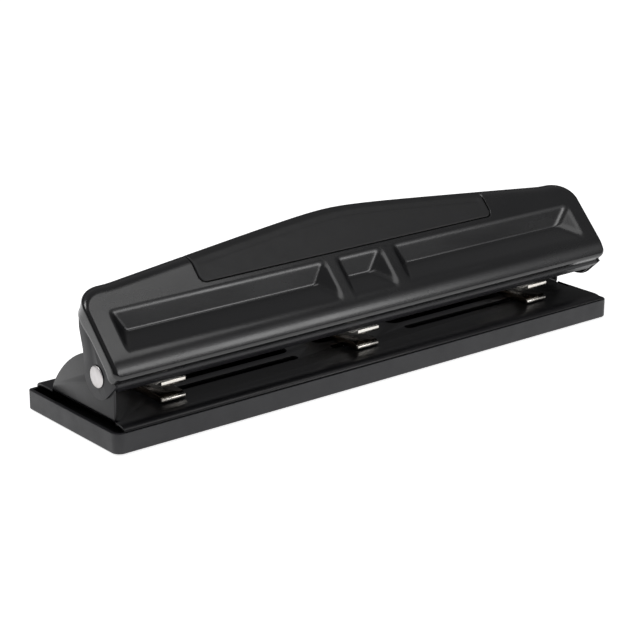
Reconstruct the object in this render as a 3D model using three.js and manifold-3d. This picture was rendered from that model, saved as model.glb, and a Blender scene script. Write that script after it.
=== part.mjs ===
// Adjustable three-hole paper punch for letter-size sheets.
// Millimetres. X runs along the punch, -Y is the front that the paper enters, +Z is up.
// The origin is the centre of the footprint, on the surface that the punch stands on.
import * as THREE from 'three';
import { mergeVertices } from 'three/addons/utils/BufferGeometryUtils.js';
import Module from 'manifold-3d';

const wasm = await Module();
wasm.setup();

// ---- driving dimensions -------------------------------------------------------------
const GAP = 0.3; // clearance between separate pieces
const LENGTH = 291; // tray, along X
const DEPTH = 70; // tray, along Y
const FRONT = -DEPTH / 2;
const SHEET_WIDTH = 279.4; // letter paper, 11 in
const HOLE_PITCH = 107.95; // 4 1/4 in between holes
const HOLE_RADIUS = 3.57; // 9/32 in holes

const FOOT_RADIUS = 6;
const FOOT_HEIGHT = 0.8;
const FOOT_INSET = 16; // from the tray's edges to a foot's centre
const TRAY_BOTTOM = 0.3; // the feet stand out of pockets in the tray
const TRAY_TOP = 9.5;
const TRAY_WALL = 1.8;
const TRAY_CORNER = 4.2; // at the front
const TRAY_REAR_CORNER = 2;
const TRAY_INNER_CORNER = 0.4; // inside, at the rear

const PLATE_TOP = 12; // upper face of the base plate
const PLATE_THICK = 1.2;
const PLATE_ROLL = 2.2; // outer radius of its folded edges
const PLATE_MARGIN = 0.6; // its setback from the tray's rim
const EAR_INNER = SHEET_WIDTH / 2 + 0.1; // a sheet just fits between the ears
const EAR_THICK = PLATE_THICK;
const EAR_REAR = FRONT + 56.3;
const EAR_BEND = PLATE_THICK + 1.2; // outer radius where an ear turns up from the plate
const EAR_RELIEF = 0.6; // gap in the plate before and behind an ear

const PIVOT_Y = FRONT + 17.8;
const PIVOT_Z = 29.5;
const EAR_HEAD_RADIUS = 9.6;
const LOBE_RADIUS = 10;
const RIVET_SHANK = 2.3;

const PIN_Y = FRONT + 36;
const POST_FRONT = PIN_Y - 5; // front edge of the right ear under its pivot
const PIN_BORE = HOLE_RADIUS + 0.25;
const PIN_NECK = 2.6;
const JAW_WIDTH = 12.4;
const JAW_THICK = 2.2;
const JAW_FRONT = FRONT + 12.7;
const JAW_BACK = FRONT + 47.5;
const JAW_FLARE = 2.2; // rise of the upper lip
const LOWER_JAW_TOP = 15.1;
const UPPER_JAW_BOTTOM = 17.5;
const SCREW_Y = FRONT + 24;
const SCREW_RADIUS = 1.9;
const CHIP_SLOT = 4.6; // half-width of the slots under the pins
const CLAMP_SLOT = 2.4; // half-width of the slots for the clamp screws
const OUTER_TRAVEL = 73; // an outer head slides inwards to the two-hole pitch
const BUSH_FLANGE = 6;
const BUSH_FLANGE_THICK = 0.8;
const BUSH_RADIUS = 4.7;
const BUSH_HEIGHT = 6.8;
const CLIP_THICK = 0.7;
const WASHER_THICK = 1;
const SPRING_WIRE = 0.55;
const SPRING_RADIUS = 5.75;
const SPRING_TURNS = 5;
const CENTRE_TRAVEL = 10;

const PANEL_TILT = THREE.MathUtils.degToRad(46.4); // front panel of the handle, from level
const PANEL_Y = FRONT + 0.6; // lower edge of the panel
const PANEL_Z = 34.7;
const COVER_HALF = 144;
const COVER_THICK = 1.8;
const COVER_ROLL = 6.5; // radius of the rolled top edge
const COVER_SKIRT = 6.2; // depth of the lower skirt
const REAR_SKIRT = 6;
const CORNER_RADIUS = 4;
const GABLE_APEX = 49.5; // height of the panel at the centre, along its slope
const GABLE_FALL = 0.1145; // how fast it falls towards the ends
const GABLE_SOFTNESS = 17; // half-width of the rounded apex
const PAD_HALF = 85.3;
const PAD_START = 32;
const PAD_THICK = 1.2;
const PAD_SKIRT = 3;

const LEVER_THICK = 1.1;
const WEB_DEPTH = COVER_SKIRT + 0.4; // distance of the lever's web behind the panel
const LEVER_WALL_END = 12.7;
const LEVER_WALL_DROP = 2;
const WEB_TOP = 33;
const FLANGE_INNER = EAR_INNER + EAR_THICK + GAP;

const BAR_RADIUS = 3;
const BAR_Y = FRONT + 34.2;
const BAR_Z = 43.6;
const BAR_HALF = 130;
const HANGERS = [-125, -22.5, 22.5, 125];
const HANGER_THICK = 2;
const HANGER_RADIUS = 5;

// ---- materials ----------------------------------------------------------------------
function material(colour, roughness, metalness) {
  return new THREE.MeshStandardMaterial({ color: colour, roughness, metalness });
}
const blackGloss = () => material(0x111113, 0.3, 0.1);
const blackEnamel = () => material(0x26262a, 0.45, 0.3);
const blackPlastic = () => material(0x1b1b1d, 0.55, 0);
const blackRubber = () => material(0x151516, 0.85, 0);
const nickel = () => material(0xc9c7c2, 0.25, 1);
const steel = () => material(0x8c8f94, 0.35, 1);

// ---- solids -------------------------------------------------------------------------
function signedVolume(vertices, triangles) {
  const [a, b, c] = [new THREE.Vector3(), new THREE.Vector3(), new THREE.Vector3()];
  let volume = 0;
  for (let i = 0; i < triangles.length; i += 3) {
    a.fromArray(vertices, 3 * triangles[i]);
    b.fromArray(vertices, 3 * triangles[i + 1]);
    c.fromArray(vertices, 3 * triangles[i + 2]);
    volume += a.dot(b.cross(c)) / 6;
  }
  return volume;
}

function solidOf(geometry) {
  const bare = geometry.index ? geometry.toNonIndexed() : geometry.clone();
  bare.deleteAttribute('normal');
  bare.deleteAttribute('uv');
  const merged = mergeVertices(bare, 1e-4);
  const vertProperties = new Float32Array(merged.attributes.position.array);
  const triVerts = new Uint32Array(merged.index.array);
  if (signedVolume(vertProperties, triVerts) < 0) triVerts.reverse();
  return new wasm.Manifold(new wasm.Mesh({ numProp: 3, vertProperties, triVerts }));
}

function geometryOf(solid) {
  const mesh = solid.getMesh();
  const geometry = new THREE.BufferGeometry();
  geometry.setAttribute('position', new THREE.BufferAttribute(new Float32Array(mesh.vertProperties), 3));
  geometry.setIndex(new THREE.BufferAttribute(new Uint32Array(mesh.triVerts), 1));
  return geometry;
}

function join(...geometries) {
  return geometries.map(solidOf).reduce((sum, next) => sum.add(next));
}

function cut(solid, ...geometries) {
  return geometries.reduce((rest, tool) => rest.subtract(solidOf(tool)), solid);
}

// A named piece made from a solid.
function part(name, solid, look) {
  const mesh = new THREE.Mesh(geometryOf(solid), look);
  mesh.name = name;
  return mesh;
}

function shapeOf(points) {
  return new THREE.Shape(points.map(([a, b]) => new THREE.Vector2(a, b)));
}

// A flat outline in (y, z), thickened along X from x0 to x1.
function slabX(points, x0, x1) {
  const geometry = new THREE.ExtrudeGeometry(shapeOf(points), { depth: x1 - x0, bevelEnabled: false });
  const basis = new THREE.Matrix4().makeBasis(
    new THREE.Vector3(0, 1, 0), new THREE.Vector3(0, 0, 1), new THREE.Vector3(1, 0, 0));
  return geometry.applyMatrix4(basis).translate(x0, 0, 0);
}

// A flat outline in (x, y), thickened along Z from z0 to z1.
function slabZ(shape, z0, z1, segments = 6) {
  const options = { depth: z1 - z0, bevelEnabled: false, curveSegments: segments };
  return new THREE.ExtrudeGeometry(shape, options).translate(0, 0, z0);
}

function block(x0, x1, y0, y1, z0, z1) {
  const box = new THREE.BoxGeometry(x1 - x0, y1 - y0, z1 - z0);
  return box.translate((x0 + x1) / 2, (y0 + y1) / 2, (z0 + z1) / 2);
}

// A turned piece about a vertical axis, from (radius, height) pairs.
function turned(profile, x, y, segments = 24) {
  const points = profile.map(([r, h]) => new THREE.Vector2(r, h));
  return new THREE.LatheGeometry(points, segments).rotateX(Math.PI / 2).translate(x, y, 0);
}

// A turned piece about an axis along X, from (radius, x) pairs.
function turnedX(profile, y, z, segments = 24) {
  const points = profile.map(([r, h]) => new THREE.Vector2(r, h));
  return new THREE.LatheGeometry(points, segments).rotateZ(-Math.PI / 2).translate(0, y, z);
}

function rodX(radius, x0, x1, y, z, segments = 24) {
  return turnedX([[0, x0], [radius, x0], [radius, x1], [0, x1]], y, z, segments);
}

function arc(cy, cz, radius, from, to, steps) {
  const points = [];
  for (let i = 0; i <= steps; i += 1) {
    const angle = THREE.MathUtils.degToRad(from + ((to - from) * i) / steps);
    points.push([cy + radius * Math.cos(angle), cz + radius * Math.sin(angle)]);
  }
  return points;
}

// A rectangle with rounded corners: radius at the front, rear at the back.
function roundedPlate(halfX, halfY, radius, rear) {
  const shape = new THREE.Shape();
  shape.absarc(halfX - rear, halfY - rear, rear, 0, Math.PI / 2);
  shape.absarc(-halfX + rear, halfY - rear, rear, Math.PI / 2, Math.PI);
  shape.absarc(-halfX + radius, -halfY + radius, radius, Math.PI, 1.5 * Math.PI);
  shape.absarc(halfX - radius, -halfY + radius, radius, 1.5 * Math.PI, 2 * Math.PI);
  return shape;
}

// A round-ended slot along X, cut through the base plate.
function slot(x0, x1, y, radius) {
  const shape = new THREE.Shape();
  shape.absarc(x1, y, radius, -Math.PI / 2, Math.PI / 2);
  shape.absarc(x0, y, radius, Math.PI / 2, 1.5 * Math.PI);
  return slabZ(shape, PLATE_TOP - 2 * PLATE_THICK, PLATE_TOP + PLATE_THICK, 8);
}

// ---- chip tray and feet -------------------------------------------------------------
function footPlaces() {
  const x = LENGTH / 2 - FOOT_INSET;
  const y = DEPTH / 2 - FOOT_INSET;
  return { front_left: [-x, -y], front_right: [x, -y], rear_left: [-x, y], rear_right: [x, y] };
}

function chipTray() {
  const [halfX, halfY] = [LENGTH / 2, DEPTH / 2];
  const outer = slabZ(roundedPlate(halfX, halfY, TRAY_CORNER, TRAY_REAR_CORNER), TRAY_BOTTOM, TRAY_TOP);
  const inner = roundedPlate(halfX - TRAY_WALL, halfY - TRAY_WALL, TRAY_CORNER - TRAY_WALL, TRAY_INNER_CORNER);
  const hollow = slabZ(inner, TRAY_BOTTOM + TRAY_WALL, TRAY_TOP + 1);
  const [radius, depth] = [FOOT_RADIUS + GAP, FOOT_HEIGHT + GAP];
  const pocket = [[0, 0], [radius, 0], [radius, depth], [0, depth]];
  const pockets = Object.values(footPlaces()).map(([x, y]) => turned(pocket, x, y));
  return part('chip_tray', cut(solidOf(outer), hollow, ...pockets), blackPlastic());
}

function feet() {
  const profile = [[0, 0], [FOOT_RADIUS, 0], [FOOT_RADIUS, FOOT_HEIGHT], [0, FOOT_HEIGHT]];
  return Object.entries(footPlaces()).map(([place, [x, y]]) => {
    return part(`foot_pad_${place}`, solidOf(turned(profile, x, y)), blackRubber());
  });
}

// ---- base frame: plate with folded edges and two ears ----------------------------------
function plateProfile() {
  const low = TRAY_TOP + GAP;
  const outer = DEPTH / 2 - PLATE_MARGIN;
  const centre = outer - PLATE_ROLL;
  const centreZ = PLATE_TOP - PLATE_ROLL;
  const inner = PLATE_ROLL - PLATE_THICK;
  return [
    ...arc(centre, centreZ, PLATE_ROLL, 0, 90, 5),
    ...arc(-centre, centreZ, PLATE_ROLL, 90, 180, 5),
    [-outer, low],
    [-outer + PLATE_THICK, low],
    ...arc(-centre, centreZ, inner, 180, 90, 4),
    ...arc(centre, centreZ, inner, 90, 0, 4),
    [outer - PLATE_THICK, low],
    [outer, low],
  ];
}

const EAR_ARC = { y: FRONT + 10.75, z: -12.7, radius: 52.7 };

// Upper edge shared by both ears: over the pivot, then down a long arc to the rear.
function earTop() {
  return [
    ...arc(PIVOT_Y, PIVOT_Z, EAR_HEAD_RADIUS, 180, 90, 8),
    ...arc(EAR_ARC.y, EAR_ARC.z, EAR_ARC.radius, 76, 31.4, 12),
  ];
}

function leftEarOutline(footZ) {
  return [[PIVOT_Y - EAR_HEAD_RADIUS, footZ], ...earTop(), [EAR_REAR, footZ]].reverse();
}

// The right ear is open to the front below the pivot, so a longer sheet can pass.
function rightEarOutline(footZ) {
  const underside = PIVOT_Z - EAR_HEAD_RADIUS;
  const fillet = 3;
  return [
    [POST_FRONT, footZ],
    ...arc(POST_FRONT - fillet, underside - fillet, fillet, 0, 90, 4),
    ...arc(PIVOT_Y, PIVOT_Z, EAR_HEAD_RADIUS, 270, 190, 8),
    ...earTop(),
    [EAR_REAR, footZ],
  ].reverse();
}

function ear(side, outline, frontY) {
  const outer = EAR_INNER + EAR_THICK;
  const centreX = outer - EAR_BEND;
  const centreZ = PLATE_TOP - PLATE_THICK + EAR_BEND;
  const overlap = 3;
  const wall = solidOf(slabX(outline(centreZ), EAR_INNER, outer));
  const section = [
    ...arc(centreX, centreZ, EAR_BEND, -90, 0, 6),
    ...arc(centreX, centreZ, EAR_BEND - EAR_THICK, 0, -90, 6),
    [centreX - overlap, PLATE_TOP],
    [centreX - overlap, PLATE_TOP - PLATE_THICK],
  ];
  const fold = new THREE.ExtrudeGeometry(shapeOf(section),
    { depth: EAR_REAR - frontY, bevelEnabled: false });
  const basis = new THREE.Matrix4().makeBasis(
    new THREE.Vector3(1, 0, 0), new THREE.Vector3(0, 0, 1), new THREE.Vector3(0, -1, 0));
  fold.applyMatrix4(basis).translate(0, EAR_REAR, 0);
  const whole = wall.add(solidOf(fold));
  return side > 0 ? whole : whole.mirror([1, 0, 0]);
}

function baseFrame() {
  const end = EAR_INNER + EAR_THICK;
  let frame = solidOf(slabX(plateProfile(), -end, end));
  const relief = end - EAR_BEND;
  const leftFront = PIVOT_Y - EAR_HEAD_RADIUS;
  const below = TRAY_TOP;
  const above = PLATE_TOP + 1;
  const sideSlit = { width: 2, length: 10 }; // in front of the right ear
  frame = cut(frame,
    block(-end - 1, -relief, leftFront - EAR_RELIEF, EAR_REAR + EAR_RELIEF, below, above),
    block(relief, end + 1, POST_FRONT - EAR_RELIEF, EAR_REAR + EAR_RELIEF, below, above),
    block(relief, relief + sideSlit.width, POST_FRONT - sideSlit.length, POST_FRONT, below, above));
  frame = frame.add(ear(-1, leftEarOutline, leftFront)).add(ear(1, rightEarOutline, POST_FRONT));
  frame = cut(frame,
    rodX(RIVET_SHANK + GAP, -LENGTH, LENGTH, PIVOT_Y, PIVOT_Z),
    ...[-1, 0, 1].flatMap((i) => {
      const home = i * HOLE_PITCH;
      const far = i === 0 ? CENTRE_TRAVEL : home - i * OUTER_TRAVEL;
      const x0 = i === 0 ? -CENTRE_TRAVEL : Math.min(home, far);
      const x1 = i === 0 ? CENTRE_TRAVEL : Math.max(home, far);
      return [slot(x0, x1, PIN_Y, CHIP_SLOT), slot(x0, x1, SCREW_Y, CLAMP_SLOT)];
    }));
  return part('base_frame', frame, blackEnamel());
}

function pivotRivet(side) {
  const inside = EAR_INNER - GAP;
  const outside = FLANGE_INNER + LEVER_THICK + GAP;
  const profile = [
    [0, inside - 1], [3.6, inside - 1], [4, inside - 0.6], [4, inside], [RIVET_SHANK, inside],
    [RIVET_SHANK, outside], [4.8, outside], [4.6, outside + 0.3], [3.6, outside + 0.6], [2, outside + 0.75],
    [0, outside + 0.8],
  ];
  const rivet = solidOf(turnedX(profile, PIVOT_Y, PIVOT_Z));
  return side > 0 ? rivet : rivet.mirror([1, 0, 0]);
}

// ---- punch heads ------------------------------------------------------------------------
function jawProfile() {
  const low = PLATE_TOP + GAP;
  const high = UPPER_JAW_BOTTOM + JAW_THICK;
  const mid = (low + high) / 2;
  const gapMid = (UPPER_JAW_BOTTOM + LOWER_JAW_TOP) / 2;
  const mouth = JAW_FRONT + 4.5;
  return [
    [JAW_FRONT, low],
    ...arc(JAW_BACK, mid, high - mid, -90, 90, 8),
    [mouth, high],
    [JAW_FRONT + 0.8, high + JAW_FLARE],
    [JAW_FRONT, high + JAW_FLARE],
    [JAW_FRONT, high + JAW_FLARE - JAW_THICK],
    [mouth + 0.4, UPPER_JAW_BOTTOM],
    ...arc(JAW_BACK, gapMid, gapMid - LOWER_JAW_TOP, 90, -90, 6),
    [JAW_FRONT, LOWER_JAW_TOP],
  ];
}

const BUSH_FOOT = UPPER_JAW_BOTTOM + JAW_THICK + GAP;
const PIN_TIP = UPPER_JAW_BOTTOM + 0.5;
const PIN_TOP = BAR_Z - BAR_RADIUS - 0.35;
const CLIP_Z = PIN_TOP - 2;
const WASHER_Z = CLIP_Z - GAP - WASHER_THICK;

function jawFrame(x) {
  const body = slabX(jawProfile(), x - JAW_WIDTH / 2, x + JAW_WIDTH / 2);
  const above = UPPER_JAW_BOTTOM + 2 * JAW_THICK;
  const thread = SCREW_RADIUS + GAP;
  const blindEnd = LOWER_JAW_TOP - 0.6;
  return cut(solidOf(body),
    turned([[0, 0], [PIN_BORE, 0], [PIN_BORE, above], [0, above]], x, PIN_Y, 32),
    turned([[0, 0], [thread, 0], [thread, blindEnd], [0, blindEnd]], x, SCREW_Y));
}

function guideBush(x) {
  const step = BUSH_FOOT + BUSH_FLANGE_THICK;
  const crown = BUSH_FOOT + BUSH_HEIGHT;
  return turned([
    [PIN_BORE, BUSH_FOOT], [BUSH_FLANGE, BUSH_FOOT], [BUSH_FLANGE, step], [BUSH_RADIUS, step],
    [BUSH_RADIUS, crown], [PIN_BORE, crown], [PIN_BORE, BUSH_FOOT],
  ], x, PIN_Y, 32);
}

function punchPin(x) {
  const r = HOLE_RADIUS;
  const hollowTip = 1.2;
  const grooveLow = CLIP_Z - GAP;
  const grooveHigh = CLIP_Z + CLIP_THICK + GAP;
  return turned([
    [0, PIN_TIP + hollowTip], [r, PIN_TIP], [r, grooveLow], [PIN_NECK, grooveLow], [PIN_NECK, grooveHigh],
    [r, grooveHigh], [r, PIN_TOP - 0.5], [r * 0.75, PIN_TOP - 0.15], [0, PIN_TOP],
  ], x, PIN_Y, 32);
}

function ring(x, inner, outer, z0, z1) {
  return turned([[inner, z0], [outer, z0], [outer, z1], [inner, z1], [inner, z0]], x, PIN_Y);
}

function washer(x) {
  return solidOf(ring(x, HOLE_RADIUS + GAP, 6.4, WASHER_Z, WASHER_Z + WASHER_THICK));
}

function retainingClip(x) {
  const whole = solidOf(ring(x, PIN_NECK + GAP, 5.2, CLIP_Z, CLIP_Z + CLIP_THICK));
  const mouth = 2; // half-width of its open side
  return cut(whole, block(x - mouth, x + mouth, PIN_Y + 1, PIN_Y + 8, CLIP_Z - 1, CLIP_Z + 2));
}

class Helix extends THREE.Curve {
  constructor(radius, turns, z0, z1) {
    super();
    Object.assign(this, { radius, turns, z0, z1 });
  }

  getPoint(t, target = new THREE.Vector3()) {
    const angle = 2 * Math.PI * this.turns * t;
    return target.set(this.radius * Math.cos(angle), this.radius * Math.sin(angle),
      this.z0 + (this.z1 - this.z0) * t);
  }
}

function returnSpring(x) {
  const low = BUSH_FOOT + BUSH_FLANGE_THICK + GAP + SPRING_WIRE;
  const high = WASHER_Z - GAP - SPRING_WIRE;
  const section = new THREE.Shape();
  section.absarc(0, 0, SPRING_WIRE, 0, 2 * Math.PI);
  const coil = new Helix(SPRING_RADIUS, SPRING_TURNS, low, high);
  const geometry = new THREE.ExtrudeGeometry(section,
    { steps: SPRING_TURNS * 14, curveSegments: 3, extrudePath: coil });
  return geometry.translate(x, PIN_Y, 0);
}

function clampScrew(x) {
  const under = PLATE_TOP - PLATE_THICK - GAP;
  const head = under - 2.5;
  const tip = LOWER_JAW_TOP - 0.9;
  const headRadius = 4.3;
  return turned([
    [0, head], [headRadius - 0.4, head], [headRadius, head + 0.4], [headRadius, under],
    [SCREW_RADIUS, under], [SCREW_RADIUS, tip], [0, tip],
  ], x, SCREW_Y);
}

function punchHead(place, x) {
  return [
    part(`jaw_frame_${place}`, jawFrame(x), nickel()),
    part(`guide_bush_${place}`, solidOf(guideBush(x)), steel()),
    part(`punch_pin_${place}`, solidOf(punchPin(x)), steel()),
    part(`return_spring_${place}`, solidOf(returnSpring(x)), steel()),
    part(`spring_washer_${place}`, washer(x), nickel()),
    part(`retaining_clip_${place}`, retainingClip(x), steel()),
    part(`clamp_screw_${place}`, solidOf(clampScrew(x)), nickel()),
  ];
}

// ---- handle -----------------------------------------------------------------------------
// Panel coordinates: v runs up the front panel from its lower edge, d is the depth behind it.
function panelPoint(v, d) {
  const c = Math.cos(PANEL_TILT);
  const s = Math.sin(PANEL_TILT);
  return [PANEL_Y + v * c + d * s, PANEL_Z + v * s - d * c];
}

// Where the panel begins to roll over, at the station x: a low gable with a rounded apex.
function rollStart(x) {
  const run = Math.hypot(x, GABLE_SOFTNESS) - GABLE_SOFTNESS;
  const corner = Math.min(Math.max(0, Math.abs(x) - (COVER_HALF - CORNER_RADIUS)), CORNER_RADIUS);
  const drop = CORNER_RADIUS - Math.sqrt(CORNER_RADIUS ** 2 - corner ** 2);
  return GABLE_APEX - GABLE_FALL * run - drop;
}

// The handle's outer line at station x, moved inwards by inset, from v = start to the rear skirt.
function rollLine(x, start, inset, skirt = REAR_SKIRT) {
  const turn = Math.PI / 2 + PANEL_TILT;
  const v0 = rollStart(x);
  const radius = COVER_ROLL - inset;
  const steps = 9;
  const points = [[start, inset]];
  for (let i = 0; i <= steps; i += 1) {
    const angle = (turn * i) / steps;
    points.push([v0 + radius * Math.sin(angle), COVER_ROLL - radius * Math.cos(angle)]);
  }
  const [v, d] = points[points.length - 1];
  points.push([v + skirt * Math.cos(turn), d + skirt * Math.sin(turn)]);
  return points;
}

const CORNER_STATIONS = [0, 30, 55, 75, 90].map((angle) =>
  COVER_HALF - CORNER_RADIUS + CORNER_RADIUS * Math.sin(THREE.MathUtils.degToRad(angle)));
const MIDDLE_STATIONS = [0, 8, 16, 26, 45];

function mirrored(stations) {
  return [...stations.slice(1).map((x) => -x).reverse(), ...stations];
}

// A closed piece through one outline of (v, d) points at each station along X.
function loft(stations, outline) {
  const rings = stations.map((x) => outline(x).map(([v, d]) => [x, ...panelPoint(v, d)]));
  const flatten = (ring) => ring.map(([, y, z]) => new THREE.Vector2(y, z));
  if (THREE.ShapeUtils.isClockWise(flatten(rings[0]))) rings.forEach((ring) => ring.reverse());
  const positions = [];
  const triangle = (a, b, c) => positions.push(...a, ...b, ...c);
  for (let i = 0; i + 1 < rings.length; i += 1) {
    const [near, far] = [rings[i], rings[i + 1]];
    for (let j = 0; j < near.length; j += 1) {
      const k = (j + 1) % near.length;
      triangle(near[j], near[k], far[k]);
      triangle(near[j], far[k], far[j]);
    }
  }
  const [first, last] = [rings[0], rings[rings.length - 1]];
  for (const [a, b, c] of THREE.ShapeUtils.triangulateShape(flatten(first), [])) {
    triangle(first[a], first[c], first[b]);
  }
  for (const [a, b, c] of THREE.ShapeUtils.triangulateShape(flatten(last), [])) {
    triangle(last[a], last[b], last[c]);
  }
  const geometry = new THREE.BufferGeometry();
  geometry.setAttribute('position', new THREE.Float32BufferAttribute(positions, 3));
  return geometry;
}

// A skin that follows the panel and its rolled top edge, between two insets from the outer face.
function skin(stations, start, outer, inner, skirt = REAR_SKIRT) {
  return loft(stations, (x) => [
    ...rollLine(x, start, outer, skirt),
    ...rollLine(x, start, inner, skirt).reverse(),
  ]);
}

const RECESSES = [[-134, -20], [-13, 13], [20, 134]];
const RECESS_LOW = 9.5;
const RECESS_HIGH = 28.5;
const RECESS_CREASE = 20.2;
const RECESS_DEPTH = 4.5;
const RECESS_HIP = 6;

// A V-shaped trough with sloping ends. It is grown outwards for the metal behind the recess.
function trough(x0, x1, grow) {
  const mouth = grow > 0 ? 1 : -0.6; // depth of its open side
  const depth = RECESS_DEPTH + grow;
  const stretch = (depth - mouth) / depth;
  const [low, high] = [RECESS_LOW - grow, RECESS_HIGH + grow];
  const ridge = [x0 + RECESS_HIP, x1 - RECESS_HIP];
  const corner = (x, v, end) => [
    end + (x - end) * stretch,
    RECESS_CREASE + (v - RECESS_CREASE) * stretch,
    mouth,
  ];
  const corners = [
    corner(x0 - grow, low, ridge[0]),
    corner(x1 + grow, low, ridge[1]),
    corner(x1 + grow, high, ridge[1]),
    corner(x0 - grow, high, ridge[0]),
    [ridge[0], RECESS_CREASE, depth],
    [ridge[1], RECESS_CREASE, depth],
  ].map(([x, v, d]) => [x, ...panelPoint(v, d)]);
  const faces = [[0, 1, 2], [0, 2, 3], [0, 4, 5], [0, 5, 1], [1, 5, 2], [2, 5, 4], [2, 4, 3], [3, 4, 0]];
  const geometry = new THREE.BufferGeometry();
  const positions = faces.flatMap((face) => face.flatMap((i) => corners[i]));
  geometry.setAttribute('position', new THREE.Float32BufferAttribute(positions, 3));
  return geometry;
}

const COVER_SCREWS = [-136.6, -16.5, 16.5, 136.6];
const SCREW_V = 19;

// A round piece whose axis is square to the panel, from (radius, depth) pairs.
function squareToPanel(profile, x, segments = 16) {
  const points = profile.map(([r, d]) => new THREE.Vector2(r, d));
  const [y, z] = panelPoint(SCREW_V, 0);
  return new THREE.LatheGeometry(points, segments).rotateX(PANEL_TILT - Math.PI / 2).translate(x, y, z);
}

function slabAlongPanel(outline, x0, x1) {
  return slabX(outline.map(([v, d]) => panelPoint(v, d)), x0, x1);
}

function handleCover() {
  const all = mirrored([...MIDDLE_STATIONS, 90, ...CORNER_STATIONS]);
  const underPad = mirrored([...MIDDLE_STATIONS, PAD_HALF + 3]);
  const pocket = mirrored([...MIDDLE_STATIONS, PAD_HALF + GAP]);
  const skirt = [
    [-1, COVER_SKIRT], [-1, 1.2], [0.2, 0], [2, 0], [2, COVER_THICK], [0.8, COVER_THICK], [0.8, COVER_SKIRT],
  ];
  let cover = join(
    skin(all, 1, 0, COVER_THICK),
    skin(CORNER_STATIONS.slice(1), 1, 0, 3),
    skin(CORNER_STATIONS.slice(1).map((x) => -x).reverse(), 1, 0, 3),
    skin(underPad, PAD_START - 2.5, 0.5, PAD_THICK + GAP + COVER_THICK),
    slabAlongPanel(skirt, -COVER_HALF, COVER_HALF));
  for (const [x0, x1] of RECESSES) cover = cover.add(solidOf(trough(x0, x1, 1.6)));
  const bossEnd = WEB_DEPTH - GAP;
  const boss = [[0, 1.2], [3, 1.2], [3, bossEnd], [0, bossEnd]];
  for (const x of COVER_SCREWS) cover = cover.add(solidOf(squareToPanel(boss, x)));
  cover = cut(cover, skin(pocket, PAD_START - GAP, -1, PAD_THICK + GAP, PAD_SKIRT + GAP),
    ...RECESSES.map(([x0, x1]) => trough(x0, x1, 0)),
    ...COVER_SCREWS.map((x) => squareToPanel([[0, 2.6], [1.6, 2.6], [1.6, WEB_DEPTH], [0, WEB_DEPTH]], x)));
  return part('handle_cover', cover, blackGloss());
}

function gripPad() {
  const stations = mirrored([...MIDDLE_STATIONS, PAD_HALF]);
  return part('grip_pad', solidOf(skin(stations, PAD_START, 0, PAD_THICK, PAD_SKIRT)), blackRubber());
}

// Outline of the lever's end flange: under the cover's edge, down the rear, round the pivot.
function flangeOutline() {
  const inset = 3 + GAP;
  const [endY, endZ] = panelPoint(-LEVER_WALL_DROP, WEB_DEPTH);
  return [
    ...rollLine(COVER_HALF, 1.6, inset).map(([v, d]) => panelPoint(v, d)),
    [PIVOT_Y + LOBE_RADIUS + 0.6, PIVOT_Z + 9],
    ...arc(PIVOT_Y, PIVOT_Z, LOBE_RADIUS, 8, THREE.MathUtils.radToDeg(PANEL_TILT) - 180, 14),
    [endY, endZ],
    panelPoint(1.6, WEB_DEPTH),
  ];
}

function hanger(x) {
  const outline = [
    panelPoint(21, WEB_DEPTH + 0.5),
    panelPoint(WEB_TOP, WEB_DEPTH + 0.5),
    ...arc(BAR_Y, BAR_Z, HANGER_RADIUS, 50, -120, 10),
  ];
  return slabX(outline, x - HANGER_THICK / 2, x + HANGER_THICK / 2);
}

function leverFrame() {
  const outer = FLANGE_INNER + LEVER_THICK;
  const folded = [
    [-LEVER_WALL_DROP, LEVER_WALL_END], [-LEVER_WALL_DROP, WEB_DEPTH], [WEB_TOP, WEB_DEPTH],
    [WEB_TOP, WEB_DEPTH + LEVER_THICK], [LEVER_THICK - LEVER_WALL_DROP, WEB_DEPTH + LEVER_THICK],
    [LEVER_THICK - LEVER_WALL_DROP, LEVER_WALL_END],
  ];
  const beside = EAR_INNER - 0.5;
  const lever = join(
    slabAlongPanel(folded, -outer, outer),
    slabX(flangeOutline(), FLANGE_INNER, outer),
    slabX(flangeOutline(), -outer, -FLANGE_INNER),
    ...HANGERS.map(hanger));
  const notches = [[3, 5, 14, 9], [-3, 10.2, 1, 14]].flatMap(([v0, d0, v1, d1]) => {
    const box = [[v0, d0], [v1, d0], [v1, d1], [v0, d1]];
    return [slabAlongPanel(box, beside, FLANGE_INNER), slabAlongPanel(box, -FLANGE_INNER, -beside)];
  });
  const holes = COVER_SCREWS.map((x) => squareToPanel([[0, 5], [1.7, 5], [1.7, 9], [0, 9]], x));
  return part('lever_frame', cut(lever, ...notches, ...holes,
    rodX(RIVET_SHANK + GAP, -LENGTH, LENGTH, PIVOT_Y, PIVOT_Z),
    rodX(BAR_RADIUS + GAP, -BAR_HALF - 2, BAR_HALF + 2, BAR_Y, BAR_Z)), blackEnamel());
}

function coverScrew(x) {
  const seat = WEB_DEPTH + LEVER_THICK + GAP;
  return squareToPanel([
    [0, 3.2], [1.3, 3.2], [1.3, seat], [2.4, seat], [2.4, seat + 1.1], [1.6, seat + 1.8], [0, seat + 1.8],
  ], x);
}

function pressBar() {
  const chamfer = 0.5;
  return turnedX([
    [0, -BAR_HALF], [BAR_RADIUS - chamfer, -BAR_HALF], [BAR_RADIUS, -BAR_HALF + chamfer],
    [BAR_RADIUS, BAR_HALF - chamfer], [BAR_RADIUS - chamfer, BAR_HALF], [0, BAR_HALF],
  ], BAR_Y, BAR_Z, 32);
}

function barClip() {
  const x = HANGERS[3] + HANGER_THICK / 2 + GAP;
  const inner = BAR_RADIUS + GAP;
  return solidOf(turnedX([[inner, x], [5.5, x], [5.5, x + 0.8], [inner, x + 0.8], [inner, x]], BAR_Y, BAR_Z));
}

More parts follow.
